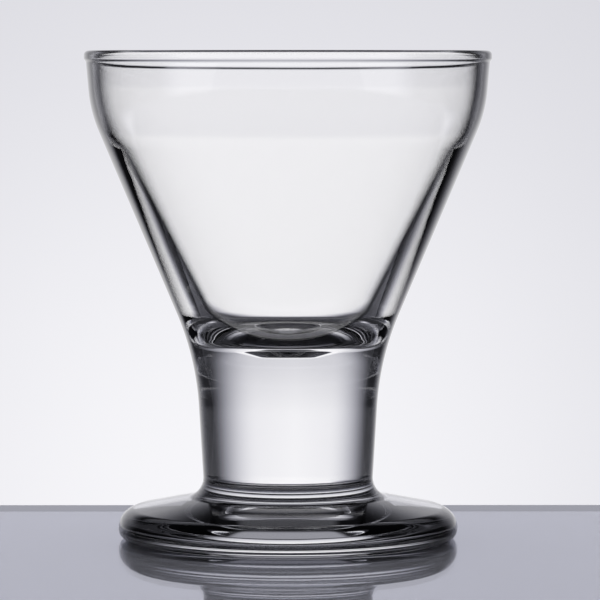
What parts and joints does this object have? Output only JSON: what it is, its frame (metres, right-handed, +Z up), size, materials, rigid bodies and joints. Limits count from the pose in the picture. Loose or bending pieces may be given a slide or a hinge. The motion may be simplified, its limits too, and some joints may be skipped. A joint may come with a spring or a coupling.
{
  "type": "rocks glass",
  "caption": "Footed rocks glass: a flared cone bowl with a beaded lip, on a thick solid stem and a round domed foot with a shallow hollow underneath.",
  "frame": {"origin": "on the table, under the middle of the foot", "axes": "+Z up the axis that the whole glass is turned about, towards the lip; X and Y are free, since every section is round"},
  "size_m": [0.0836, 0.0836, 0.1003],
  "materials": {
    "foot_glass": "fire-polished clear, faint grey cast",
    "stem_glass": "fire-polished clear",
    "bowl_glass": "fire-polished clear, polished bead at the lip"
  },
  "bodies": {
    "root": {"foot": "foot_glass", "stem": "stem_glass", "bowl": "bowl_glass"}
  },
  "joints": []
}
